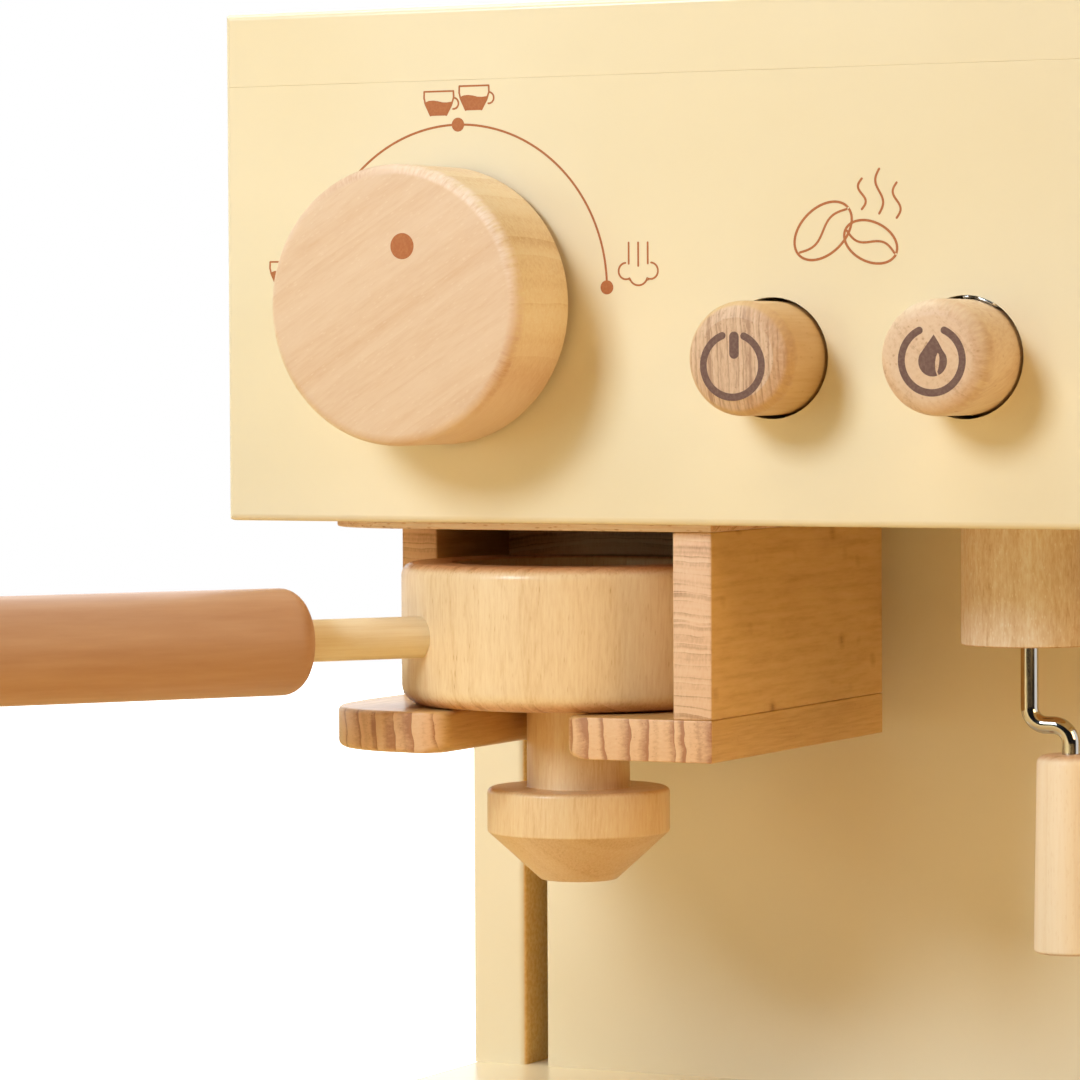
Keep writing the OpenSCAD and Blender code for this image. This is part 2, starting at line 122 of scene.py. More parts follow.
def timber(name, at, grain, layers, tones, end_tones, ring=3.0, heart=60, rings=0.35,
           lines=0.25, end_lines=0.35, late=7.0, fading=0.0, fibres=0.35, end_fibres=0.35,
           fibre_size=(16, 0.6, 0.6), flecks=0.3, fleck_size=(2.6, 0.5, 0.9), fleck_lean=0.0,
           fleck_share=1.0, fleck_edge=0.12, end_flecks=1.0, wander=4.0,
           wander_size=(125, 28, 28), relief=0.03, tears_and_painted_light=None, Roughness=0.5, **surface):
    """Solid wood, cut from a log: grain runs along the trunk, layers points away from its heart.

    ring is the mean width of a year's growth and heart the distance from the point at to the
    middle of the trunk, round which the years wander. rings, lines, fibres and flecks say how
    strongly each of them shows, end_lines and end_fibres how strongly they do on end grain. A
    year darkens slowly where late is low and ends in a thin line where it is high; fading lets
    its line come and go. Flecks of a strength below 0 are paler than the wood. fleck_share is
    the share of them that is there at all, fleck_lean their turn in degrees, fleck_edge is low
    where their outline is soft, and end_flecks is how much of their strength they keep on end
    grain. The edge argument after relief describes a front edge whose fibres stand up in short
    strokes, with a painted highlight or painted shade that runs round it.
    """
    made, tree, shader, place = start_material(name, Roughness=Roughness, **surface)
    along = Vector(grain).normalized()
    turn = log_axes(along, Vector(layers).normalized())
    near = add(tree, "VectorMath", {0: place["Object"], 1: at}, operation="SUBTRACT")
    log = add(tree, "Mapping", {"Vector": near, "Scale": (1 / MM,) * 3, "Rotation": turn,
                                "Location": (0, heart, 0)})

    # How much of the end grain a face shows
    facing = add(tree, "VectorMath", {0: place["Normal"], 1: along}, operation="DOT_PRODUCT")
    facing = add(tree, "Math", {0: facing.outputs["Value"]}, operation="ABSOLUTE")
    end_share = add(tree, "MapRange", {0: facing, 1: 0.35, 2: 0.9}, interpolation_type="SMOOTHSTEP")

    # Years of growth: distance from the heart, which wanders slowly along the trunk
    slow = add(tree, "Mapping", {"Vector": log, "Scale": wander_size}, vector_type="TEXTURE")
    drift = add(tree, "TexNoise", {"Vector": slow, "Scale": 1.0, "Detail": 2.0})
    across = add(tree, "VectorMath", {0: log, 1: (0, 1, 1)}, operation="MULTIPLY")
    radius = add(tree, "VectorMath", {0: across}, operation="LENGTH").outputs["Value"]
    bent = add(tree, "Math", {0: drift, 1: wander, 2: radius}, operation="MULTIPLY_ADD")
    years = add(tree, "Math", {0: bent, 1: ring}, operation="DIVIDE")
    growth = add(tree, "TexNoise", {"W": years, "Scale": 0.9, "Detail": 2.5}, noise_dimensions="1D")
    uneven = add(tree, "Math", {0: growth, 1: 1.4, 2: years}, operation="MULTIPLY_ADD")
    year = add(tree, "Math", {0: uneven}, operation="FRACT")
    line = add(tree, "Math", {0: year, 1: late}, operation="POWER")
    patch = add(tree, "SeparateXYZ", {"Vector": drift.outputs["Color"]})
    patch = add(tree, "MapRange", {0: patch.outputs["Y"], 1: 0.35, 2: 0.6, 3: 1 - fading})
    line = add(tree, "Math", {0: line, 1: patch}, operation="MULTIPLY")

    # Fibres, about half as wide as their size says
    thread = add(tree, "VectorMath", {0: log, 1: [1 / size for size in fibre_size]},
                 operation="MULTIPLY")
    fibre = add(tree, "TexNoise", {"Vector": thread, "Scale": 1.0, "Detail": 3.0,
                                   "Roughness": 0.65})
    # Ray flecks and open pores: short dashes along the grain
    spot = add(tree, "Mapping", {"Vector": log, "Scale": fleck_size,
                                 "Rotation": (0, 0, math.radians(fleck_lean))},
               vector_type="TEXTURE")
    ray = add(tree, "TexVoronoi", {"Vector": spot, "Scale": 1.0})
    inside = add(tree, "MapRange", {0: ray, 1: 0.3, 2: fleck_edge})
    lot = add(tree, "SeparateXYZ", {"Vector": ray.outputs["Color"]})
    drawn = add(tree, "Math", {0: lot, 1: fleck_share}, operation="LESS_THAN")
    fleck = add(tree, "Math", {0: inside, 1: drawn}, operation="MULTIPLY")

    # One depth of tone from all of them, read through two ramps
    depth = add(tree, "Math", {0: growth, 1: rings * 2, 2: 0.5 - rings}, operation="MULTIPLY_ADD")
    centred = add(tree, "Math", {0: fibre, 1: 0.5}, operation="SUBTRACT")
    for pattern, on_flat, on_end in ((line, lines, end_lines),
                                     (centred, fibres * 2, end_fibres * 2),
                                     (fleck, flecks, flecks * end_flecks)):
        shows = add(tree, "MapRange", {0: end_share, 3: on_flat, 4: on_end})
        depth = add(tree, "Math", {0: pattern, 1: shows, 2: depth}, operation="MULTIPLY_ADD")
    flat = add(tree, "ValToRGB", {"Fac": depth}, stops=zip((0.2, 0.5, 0.8, 1.0), tones))
    end = add(tree, "ValToRGB", {"Fac": depth}, stops=zip((0.25, 0.55, 0.8), end_tones))
    colour = add(tree, "Mix", {"Factor": end_share, 6: flat, 7: end}, data_type="RGBA").outputs[2]
    # The front edge: ripped-up fibres, with a painted highlight or painted shade round it
    if tears_and_painted_light:
        colour = torn_edge_and_painted_light(tree, place, colour, **tears_and_painted_light)
    finish(tree, shader, colour, fibre, (Roughness - 0.08, Roughness + 0.1), depth, 1.0, relief,
           invert=True)
    return made


def torn_edge_and_painted_light(tree, place, under, middle, inner, depth, towards, begins, strength, size,
              tones, length=3.5):
    """Short strokes across the rounded front edge of a piece turned about Y, over a colour.

    middle is the middle of its front face, in metres. The strokes start inner from the axis and
    end depth behind the face, and are size wide and length long. tones run round the edge by
    the cosine of the angle to towards, from begins to 1: they are a painted highlight or painted
    shade, and the strokes show only on that side of the edge.
    """
    apart = add(tree, "VectorMath", {0: place["Object"], 1: middle}, operation="SUBTRACT")
    apart = add(tree, "VectorMath", {0: apart, 1: (1 / MM,) * 3}, operation="MULTIPLY")
    part = add(tree, "SeparateXYZ", {"Vector": apart}).outputs
    plane = add(tree, "VectorMath", {0: apart, 1: (1, 0, 1)}, operation="MULTIPLY")
    reach = add(tree, "VectorMath", {0: plane}, operation="LENGTH").outputs["Value"]
    around = add(tree, "Math", {0: part["Z"], 1: part["X"]}, operation="ARCTAN2")
    spread = add(tree, "CombineXYZ", {"X": around, "Y": reach, "Z": part["Y"]})
    spread = add(tree, "Mapping", {"Vector": spread,
                                   "Scale": (inner / size, 1 / length, 1 / length)})
    strokes = add(tree, "TexNoise", {"Vector": spread, "Scale": 1.0, "Detail": 3.0,
                                     "Roughness": 0.6})
    shows = add(tree, "MapRange", {0: strokes, 1: 0.34, 2: 0.64, 4: strength})
    edge = add(tree, "MapRange", {0: reach, 1: inner - 0.5, 2: inner + 0.9},
               interpolation_type="SMOOTHSTEP")
    front = add(tree, "MapRange", {0: part["Y"], 1: depth + 1.2, 2: depth - 1.0},
                interpolation_type="SMOOTHSTEP")
    # Painted light: the tone lightens or darkens with the side of the edge, and the strokes show
    # only on the side that faces towards
    way = add(tree, "VectorMath", {0: plane}, operation="NORMALIZE")
    side = add(tree, "VectorMath", {0: way, 1: Vector(towards).normalized()},
               operation="DOT_PRODUCT").outputs["Value"]
    turned_by = add(tree, "MapRange", {0: side, 1: begins, 2: 1.0})
    tone = add(tree, "ValToRGB", {"Fac": turned_by}, stops=tones)
    there = add(tree, "MapRange", {0: side, 1: begins, 2: begins + 0.5})
    share = shows
    for part_share in (edge, front, there):
        share = add(tree, "Math", {0: share, 1: part_share}, operation="MULTIPLY")
    over = add(tree, "Mix", {"Factor": share, 6: under, 7: tone}, data_type="RGBA")
    return over.outputs[2]


def sprayed_enamel(name, code, warmer, bare=None):
    """Cream enamel sprayed on sanded fibreboard: an even satin film with a soft orange peel.

    Faces that look the way bare points are left raw: tan fibreboard.
    """
    made, tree, shader, place = start_material(name, Roughness=0.25, IOR=1.5)
    clouds = add(tree, "TexNoise", {"Vector": place["Object"], "Scale": 14.0, "Detail": 3.0})
    colour = add(tree, "ValToRGB", {"Fac": clouds}, stops=((0.35, code), (0.7, warmer))).outputs[0]
    if bare:
        looks = add(tree, "VectorMath", {0: place["Normal"], 1: bare}, operation="DOT_PRODUCT")
        raw = add(tree, "MapRange", {0: looks.outputs["Value"], 1: 0.7, 2: 0.95})
        fibres = add(tree, "TexNoise", {"Vector": place["Object"], "Scale": 900.0,
                                        "Detail": 3.0})
        board = add(tree, "ValToRGB", {"Fac": fibres}, stops=((0.35, "FAD38A"), (0.65, "EEBE6C")))
        colour = add(tree, "Mix", {"Factor": raw, 6: colour, 7: board}, data_type="RGBA").outputs[2]
    # The peel's waves are about 1.5 mm apart and a few thousandths of a millimetre high
    peel = add(tree, "TexNoise", {"Vector": place["Object"], "Scale": 650.0, "Detail": 2.0})
    finish(tree, shader, colour, clouds, (0.21, 0.29), peel, 0.35, 0.02)
    return made


def lacquered_beech(name, along, code, darker):
    """Brown lacquer brushed over a turned beech grip: the grain only just shows through."""
    made, tree, shader, place = start_material(name, Roughness=0.4, IOR=1.5)
    along = Vector(along).normalized()
    turn = log_axes(along, along.orthogonal().normalized())
    log = add(tree, "Mapping", {"Vector": place["Object"], "Scale": (1 / MM,) * 3,
                                "Rotation": turn})
    thread = add(tree, "VectorMath", {0: log, 1: (1 / 25, 1 / 2.5, 1 / 2.5)}, operation="MULTIPLY")
    streak = add(tree, "TexNoise", {"Vector": thread, "Scale": 1.0, "Detail": 5.0,
                                    "Roughness": 0.6})
    colour = add(tree, "ValToRGB", {"Fac": streak}, stops=((0.3, code), (0.75, darker)))
    finish(tree, shader, colour.outputs[0], streak, (0.36, 0.48), streak, 0.6, 0.03)
    return made


def printed_ink(name, code, thin):
    """Screen-printed ink: a thin matt film that lies a little unevenly, 0.5 mm patches."""
    made, tree, shader, place = start_material(name, Roughness=0.55, IOR=1.48)
    patch = add(tree, "TexNoise", {"Vector": place["Object"], "Scale": 1800.0, "Detail": 2.0})
    colour = add(tree, "ValToRGB", {"Fac": patch}, stops=((0.4, code), (0.8, thin)))
    tree.links.new(colour.outputs[0], shader.inputs["Base Color"])
    return made


def drawn_metal(name, code, Roughness, relief):
    """Drawn or turned steel: fine lines in the metal under its plating, 0.2 mm apart."""
    made, tree, shader, place = start_material(name, Metallic=1.0, Roughness=Roughness)
    tint = add(tree, "TexNoise", {"Vector": place["Object"], "Scale": 400.0, "Detail": 2.0})
    colour = add(tree, "Mix", {"Factor": tint, 6: linear(code),
                               7: [c * 0.9 for c in linear(code)[:3]] + [1]}, data_type="RGBA")
    lines = add(tree, "TexNoise", {"Vector": place["Object"], "Scale": 4000.0, "Detail": 1.0})
    finish(tree, shader, colour.outputs[2], tint, (Roughness * 0.8, Roughness * 1.3), lines,
           0.3, relief)
    return made


# Steamed beech: honey brown flats, pinker end grain with dark year lines, short dark ray flecks
BEECH = dict(tones=("E3B27A", "D8A266", "C98F55", "A87040"),
             end_tones=("E9BE90", "DDA976", "B98052"))
# Turned beech under clear oil: warm straw yellow
OILED = dict(tones=("F8E0B8", "F1D4A8", "E3BF8C", "C1935E"),
             end_tones=("E0AC7C", "D19A68", "B87F4E"))

# A thin coat of clear oil over the wood: a broad soft gloss
OIL_COAT = dict(Coat_Weight=0.4, Coat_Roughness=0.22)

# Satin cream, a shade warmer in its clouds
ENAMEL = ("F0E3C5", "EDDEBC")
CREAM = sprayed_enamel("cream_enamel", *ENAMEL)
# Matt inks: orange brown on the enamel, dark brown on the wood
TERRACOTTA = printed_ink("terracotta_screen_print", "B0642F", "BB743B")
BROWN_INK = printed_ink("brown_pad_print", "68483F", "7F6052")
# Chrome mirrors the room, spring wire blurs it a little, and zinc on screws is dull grey
CHROME = drawn_metal("chromed_steel_rod", "CFCBC4", 0.08, 0.002)
WIRE = drawn_metal("spring_wire", "C9CCD0", 0.2, 0.004)
ZINC = drawn_metal("zinc_plated_screw", "BFC3C8", 0.32, 0.006)


# ---------- forms ----------

def rounded(corners, steps=7):
    """Points of a closed outline whose corners (x, y, radius) are rounded off."""
    points = []
    for i, (x, y, radius) in enumerate(corners):
        corner = Vector((x, y))
        if not radius:
            points.append(corner)
            continue
        back = (Vector(corners[i - 1][:2]) - corner).normalized()
        ahead = (Vector(corners[(i + 1) % len(corners)][:2]) - corner).normalized()
        half = back.angle(ahead) / 2
        centre = corner + (back + ahead).normalized() * radius / math.sin(half)
        spokes = [corner + arm * radius / math.tan(half) - centre for arm in (back, ahead)]
        first, last = (math.atan2(s.y, s.x) for s in spokes)
        sweep = (last - first + math.pi) % (2 * math.pi) - math.pi
        for k in range(steps + 1):
            angle = first + sweep * k / steps
            points.append(centre + radius * Vector((math.cos(angle), math.sin(angle))))
    return points


def circle(sides):
    """Cosine and sine of the angles of a full turn."""
    angles = [2 * math.pi * k / sides for k in range(sides)]
    return [(math.cos(angle), math.sin(angle)) for angle in angles]


def turned(outline, foot, axis, sides=128):
    """A turned form. Its outline of rounded corners (radius, height, rounding) is closed.

    Heights run along axis from foot. Points on the axis become one vertex each.
    """
    form = bmesh.new()
    pose = Matrix.Translation(foot) @ axis.to_track_quat("Z", "Y").to_matrix().to_4x4()
    rows = []
    for point in rounded(outline):
        radius, height = point.x * MM, point.y * MM
        spokes = circle(sides if radius > 1e-7 else 1)
        rows.append([form.verts.new(pose @ Vector((radius * x, radius * y, height)))
                     for x, y in spokes])
    for low, high in zip(rows, rows[1:] + rows[:1]):
        if len(low) == len(high) == 1:
            continue
        for k in range(sides):
            n = (k + 1) % sides
            ring = [low[k % len(low)], low[n % len(low)], high[n % len(high)], high[k % len(high)]]
            form.faces.new(list(dict.fromkeys(ring)))
    return form


def wire(path, thickness, sides):
    """A round wire or rod of even thickness along a path of points in metres, ends closed."""
    form = bmesh.new()
    radius = thickness * MM / 2
    side = (path[1] - path[0]).orthogonal().normalized()
    rows = []
    for i, point in enumerate(path):
        ahead = (path[min(i + 1, len(path) - 1)] - path[max(i - 1, 0)]).normalized()
        side = (side - side.dot(ahead) * ahead).normalized()
        other = ahead.cross(side)
        rows.append([form.verts.new(point + radius * (x * side + y * other))
                     for x, y in circle(sides)])
    for low, high in zip(rows, rows[1:]):
        for k in range(sides):
            n = (k + 1) % sides
            form.faces.new((low[k], low[n], high[n], high[k]))
    form.faces.new(rows[0])
    form.faces.new(rows[-1])
    return form


def slab(outline, low_z, high_z, ease, steps=5, stride=1.5):
    """A board with a closed outline in plan, in metres, and rounded lower and upper edges.

    ease gives the two roundings at a point of the outline, in millimetres. The outline gets a
    point about every stride.
    """
    form = bmesh.new()
    fine = []
    for k, point in enumerate(outline):
        gap = point - outline[k - 1]
        parts = max(1, round(gap.length / (stride * MM)))
        fine += [outline[k - 1] + gap * n / parts for n in range(1, parts + 1)]
    rings = [[] for _ in range(2 * steps + 2)]
    for k, point in enumerate(fine):
        ahead = (fine[(k + 1) % len(fine)] - fine[k - 1]).normalized()
        inward = Vector((-ahead.y, ahead.x))
        low, top = (size * MM for size in ease(point))
        for step in range(steps + 1):
            angle = math.pi / 2 * step / steps
            lower = point + inward * low * (1 - math.sin(angle))
            upper = point + inward * top * (1 - math.cos(angle))
            rings[step].append(form.verts.new((*lower, low_z + low * (1 - math.cos(angle)))))
            rings[steps + 1 + step].append(
                form.verts.new((*upper, high_z - top * (1 - math.sin(angle)))))
    for below, above in zip(rings, rings[1:]):
        for k in range(len(fine)):
            form.faces.new((below[k - 1], below[k], above[k], above[k - 1]))
    form.faces.new(rings[0][::-1])
    form.faces.new(rings[-1])
    return form


def softened(node, width, shortest=1.2):
    """A copy of a board from the frame with its sharp edges, but the shortest, sanded round."""
    form = bmesh.new()
    form.from_mesh(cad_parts[node].data)
    bmesh.ops.remove_doubles(form, verts=form.verts, dist=1e-6)
    bmesh.ops.dissolve_limit(form, angle_limit=math.radians(0.5), verts=form.verts,
                             edges=form.edges)
    sharp = [e for e in form.edges if len(e.link_faces) == 2
             and e.calc_face_angle() > math.radians(40) and e.calc_length() > shortest * MM]
    bmesh.ops.bevel(form, geom=sharp, offset=width * MM, segments=3, profile=0.5,
                    affect="EDGES", clamp_overlap=True)
    return form


def put(name, data):
    """A new object in the scene."""
    made = bpy.data.objects.new(name, data)
    bpy.context.scene.collection.objects.link(made)
    return made


def put_form(name, form, look):
    """A new mesh object from a form, which is used up."""
    mesh = bpy.data.meshes.new(name)
    form.to_mesh(mesh)
    form.free()
    mesh.materials.append(look)
    return put(name, mesh)


def piece(name, form, look, body, stands_for=()):
    """Makes a named piece from a form, with its material and body, and hides the nodes it stands
    for.
    """
    bmesh.ops.recalc_face_normals(form, faces=form.faces)
    made = put_form(name, form, look)
    made.data.polygons.foreach_set("use_smooth", [True] * len(made.data.polygons))
    made.data.set_sharp_from_angle(angle=math.radians(33))
    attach(made, body)
    if stands_for:
        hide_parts(*stands_for)
    return made


def keep(nodes, look):
    """CAD nodes whose shape is right get a better material and stay."""
    for name in nodes:
        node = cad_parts[name]
        if not node.material_slots:
            node.data.materials.append(look)
        for place in node.material_slots:
            place.material = look


def along_front(node):
    """A node whose axis points out of the front: (axis at its front face, radius, length)."""
    low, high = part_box(node)
    middle = (low + high) / 2
    return Vector((middle.x, low.y, middle.z)), (high.x - low.x) / 2 / MM, (high.y - low.y) / MM


def upright(node):
    """A node whose axis is upright: (middle of its foot, radius, height)."""
    low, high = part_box(node)
    middle = (low + high) / 2
    return Vector((middle.x, middle.y, low.z)), (high.y - low.y) / 2 / MM, (high.z - low.z) / MM


def loose_parts(form):
    """The separate solids of a form, each as a list of its vertices."""
    parts = []
    for start in form.verts:
        if start.tag:
            continue
        start.tag = True
        part = [start]
        for vertex in part:
            for edge in vertex.link_edges:
                other = edge.other_vert(vertex)
                if not other.tag:
                    other.tag = True
                    part.append(other)
        parts.append(part)
    return parts


def cross_screws(name, node, way, sides=40):
    """Countersunk screws with cross recesses, in the places of a node's plain ones.

    Their heads look along way, the direction of one of the axes.
    """
    plain, form = bmesh.new(), bmesh.new()
    plain.from_mesh(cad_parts[node].data)
    bmesh.ops.remove_doubles(plain, verts=plain.verts, dist=1e-6)
    arm, half, depth = 1.6, 0.45, 1.4
    shank_share, narrowing = 0.47, 0.6
    cross = [Matrix.Rotation(math.pi / 2 * k, 2) @ Vector(corner) for k in range(4)
             for corner in ((arm, -half), (arm, half), (half, half))]
    rim = [Vector(spoke) for spoke in circle(sides)]
    for screw in loose_parts(plain):
        low, high = (Vector([pick(v.co[k] for v in screw) for k in range(3)])
                     for pick in (min, max))
        head_r, length = min(high - low) / 2 / MM, max(high - low) / MM
        shank_r = head_r * shank_share
        head = (low + high) / 2 + way * length * MM / 2
        pose = (Matrix.Translation(head) @ way.to_track_quat("Z", "Y").to_matrix().to_4x4()
                @ Matrix.Scale(MM, 4))
        loops = [[form.verts.new(pose @ Vector((*(p * size), height))) for p in outline]
                 for outline, size, height in (
                     (rim, shank_r, -length), (rim, shank_r, shank_r - head_r),
                     (rim, head_r, 0), (cross, 1, 0), (cross, narrowing, -depth))]
        flat = [[Vector((*(p * size), 0)) for p in outline]
                for outline, size in ((rim, head_r), (cross, 1))]
        for triangle in tessellate_polygon(flat):
            form.faces.new([(loops[2] + loops[3])[k] for k in triangle])
        for a, b in ((0, 1), (1, 2), (3, 4)):
            for k in range(len(loops[a])):
                form.faces.new((loops[a][k - 1], loops[a][k], loops[b][k], loops[b][k - 1]))
        form.faces.new(loops[0])
        form.faces.new(loops[4])
    plain.free()
    piece(name, form, ZINC, "machine", [node])


# ---------- painted housing ----------

keep(("base_board", "front_board", "top_board", "head_floor", "column_panel", "back_panel"),
     CREAM)
# The side boards' inner faces are raw: one shows in the gap beside the column panel
for node, inward in (("left_side_board", (1, 0, 0)), ("right_side_board", (-1, 0, 0))):
    keep((node,), sprayed_enamel(node + "_enamel", *ENAMEL, bare=inward))

# ---------- filter holder ----------

# The fork shows its end grain at the front: bold dark year lines, calmer towards the sides
fork_low, fork_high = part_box("holder_fork")
fork_beech = timber("fork_beech_end_grain", at=(fork_low + fork_high) / 2, grain=(0, 1, 0),
                    layers=(1, 0.1, 0.06), ring=4.9, heart=140, rings=0.1, lines=0.1,
                    end_lines=0.46, late=2.0, fading=0.4, fibres=0.34, end_fibres=0.16,
                    fibre_size=(12, 1.5, 0.6), flecks=0.12, wander=2.2, wander_size=(60, 9, 6),
                    fleck_size=(1.6, 0.5, 0.9), fleck_share=0.3,
                    tones=("E6BD80", "D9AE6D", "C49359", "93623A"),
                    end_tones=("F0D0A4", "E4B68A", "B0764E"), **OIL_COAT)
# The walls' long sides are honey brown with large slanting flecks, their ends paler
WALL_LOOKS = dict(grain=(0, 1, 0), layers=(0.06, 0, 1), ring=2.2, heart=160, rings=0.16,
                  lines=0.05, end_lines=0.25, late=2.6, fading=0.7, fibres=0.36,
                  end_fibres=0.14, fibre_size=(12, 1.6, 0.5), flecks=0.44, wander=1.6,
                  wander_size=(90, 7, 8), fleck_size=(9.0, 7.5, 5.0), fleck_lean=-32,
                  fleck_share=0.45, fleck_edge=0.0, end_flecks=0.0,
                  tones=("E7BF82", "DDB374", "C99A5F", "9A6C3A"),
                  end_tones=("F2D9BD", "E6BE9B", "B68A67"))
# The plate is pale and a little pink, with hardly a line
plate_beech = timber("plate_beech_long_grain", at=fork_high, grain=(1, 0, 0),
                     layers=(0, 1, 0.2), ring=3.0, heart=70,
                     tones=("FAEDEB", "F1DBCF", "DDBBA1", "B88F72"),
                     end_tones=("ECC9A8", "E0B38A", "BB8860"))
FORK_CORNER, FORK_EDGE, TIP_R, SLOT_R = 26 * MM, 0.4 * MM, 6 * MM, 14.7 * MM
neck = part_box("spout")
slot_x, slot_y = (neck[0].x + neck[1].x) / 2, (neck[0].y + neck[1].y) / 2
fork_outline = rounded([(fork_high.x, fork_low.y, FORK_EDGE),
                        (fork_high.x, fork_high.y, FORK_EDGE),
                        (fork_low.x, fork_high.y, FORK_EDGE),
                        (fork_low.x, fork_low.y, FORK_CORNER),
                        (slot_x - SLOT_R, fork_low.y, TIP_R),
                        (slot_x - SLOT_R, slot_y + SLOT_R, SLOT_R),
                        (slot_x + SLOT_R, slot_y + SLOT_R, SLOT_R),
                        (slot_x + SLOT_R, fork_low.y, TIP_R)], steps=14)


def fork_ease(point):
    """The slot and both tips are sanded round, the edges under the walls hardly at all.

    Roundings of the lower and the upper edge in millimetres, which fade out within 4 mm of the
    slot and 8 mm of the corner.
    """
    from_slot = max(abs(point.x - slot_x) - SLOT_R - 0.4 * TIP_R,
                    point.y - slot_y - SLOT_R, 0) / MM
    slot_share = max(0.0, 1 - from_slot / 4)
    from_corner = max(point.x - fork_low.x - FORK_CORNER, point.y - fork_low.y - FORK_CORNER,
                      0) / MM
    corner_share = max(0.0, 1 - from_corner / 8)
    return (0.35 + max(2.0 * slot_share, 1.3 * corner_share),
            0.3 + max(0.9 * slot_share, 0.9 * corner_share))


piece("fork_board", slab(fork_outline, fork_low.z, fork_high.z, fork_ease), fork_beech,
      "machine", ["holder_fork"])
for node in ("holder_left_wall", "holder_right_wall", "holder_back_wall"):
    look = timber(node + "_beech", at=sum(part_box(node), Vector()) / 2, **WALL_LOOKS)
    piece(node + "_board", softened(node, 0.5), look, "machine", [node])
piece("holder_top_board", softened("holder_plate", 0.4), plate_beech, "machine",
      ["holder_plate"])

# ---------- dial ----------

# Sanded fine: wide soft stripes slant over the face, and the turned edge has ripped-up fibres,
# paler at the upper right as a painted highlight
KNOB_ROUND, KNOB_BACK_ROUND = 2.5, 0.4
face, knob_r, knob_t = along_front("knob")
knob_beech = timber("knob_beech_sanded", at=face, grain=(0.85, 0, 0.53), layers=(-0.53, 0, 0.85),
                    ring=8.5, heart=400, rings=0.2, lines=0.1, end_lines=0.13, late=1.6,
                    fibres=0.24, end_fibres=0.2, fibre_size=(7, 0.9, 0.9), flecks=-0.2,
                    wander=3.0, wander_size=(60, 30, 30),
                    fleck_size=(1.8, 0.6, 0.6), fleck_share=0.35,
                    tones=("EAD0B5", "E4C6A8", "DAB490", "CA9E73"),
                    end_tones=("FAEED3", "EFD9B4", "D7B482"),
                    # The edge's tones lighten to a painted highlight at the upper right, where its
                    # strokes show
                    tears_and_painted_light=dict(middle=face, inner=knob_r - 2.3, depth=2.8,
                              towards=(0.75, 0, 0.66), begins=-0.1, strength=0.8, size=0.6,
                              tones=((0.45, "CFA282"), (0.8, "F3D9C4"), (0.97, "FCEBDE"))))
shaft_r = along_front("knob_shaft")[1]
socket = (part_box("knob")[1].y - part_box("knob_shaft")[0].y) / MM
piece("dial_knob", turned([(0, 0, 0), (knob_r, 0, KNOB_ROUND),
                           (knob_r, knob_t, KNOB_BACK_ROUND), (shaft_r, knob_t, 0.3),
                           (shaft_r, knob_t - socket, 0), (0, knob_t - socket, 0)],
                          face, -FRONT),
      knob_beech, "dial", ["knob"])

# ---------- push buttons ----------

BUTTON_STEM, BUTTON_ROUND = 4.0, 3.8
BUTTON_LOOKS = {
    # Cut across the trunk: the years are soft grey-brown stripes on the face
    "power": dict(grain=(0, 1, 0), layers=(1, 0, 0.04), ring=1.9, heart=150, rings=0.22,
                  lines=0.08, end_lines=0.34, late=2.2, fading=0.4, fibres=0.22,
                  fibre_size=(14, 0.5, 2.0), flecks=0.14, wander=0.8, wander_size=(60, 6, 9),
                  fleck_size=(3.0, 0.9, 0.9), fleck_share=0.25,
                  tones=("DFC18F", "D7B482", "C79E6A", "9C7149"),
                  end_tones=("E2C6AA", "D5B394", "B18B6F")),
    # Even wood, the years hardly show
    "water": dict(grain=(0.3, 1, 0.3), layers=(0.7, -0.42, 0.7), ring=3.2, heart=150,
                  rings=0.16, lines=0.06, end_lines=0.12, fibres=0.34,
                  fibre_size=(7, 0.8, 0.8), flecks=0.26, wander=2.0, wander_size=(60, 8, 8),
                  fleck_size=(3.0, 1.3, 1.3), fleck_share=0.3,
                  tones=("EAD7BD", "E2C9AA", "D0AF8E", "AE8969"),
                  end_tones=("E4C8AC", "DCBB9B", "BE9777")),
}
# Ripped-up fibres on each button's rounded edge, with painted shade: their tones darken to the
# right, and they show mostly on that side
BUTTON_TEARS_AND_SHADE = {
    "power": dict(towards=(1, 0, -0.1), begins=-0.3, strength=0.5, size=0.8,
                  tones=((0.2, "E0BC94"), (0.6, "C99C78"), (0.95, "B98C6C"))),
    "water": dict(towards=(1, 0, 0), begins=-0.2, strength=0.4, size=0.7,
                  tones=((0.2, "E4BC92"), (0.6, "D0A482"), (0.95, "BE9270"))),
}
BUTTON_FACES = {
    # The power button's face is flat and ends in a crisp edge
    "power": [(0, 0, 0), (8.7, 0, 0.3), (11.2, 1.25, 2.2)],
    "water": [(0, 0, 0)],
}
# How far behind its face a button is full width, and the rounding there
BUTTON_SHOULDERS = {"power": (3.6, 2.6), "water": (0, BUTTON_ROUND)}
for body in ("power", "water"):
    node = body + "_button"
    face, button_r, button_l = along_front(node)
    shank = (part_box(body + "_collar")[0].y - face.y) / MM
    look = timber(body + "_button_beech", at=face,
                  tears_and_painted_light=dict(middle=face, inner=button_r - BUTTON_ROUND + 0.4, depth=4.5,
                            **BUTTON_TEARS_AND_SHADE[body]), **BUTTON_LOOKS[body])
    outline = BUTTON_FACES[body] + [(button_r, *BUTTON_SHOULDERS[body]), (button_r, shank, 0.5),
                                    (BUTTON_STEM, shank, 0), (BUTTON_STEM, button_l, 0.5),
                                    (0, button_l, 0)]
    piece(body + "_push_button", turned(outline, face, -FRONT),
          look, body, [node])

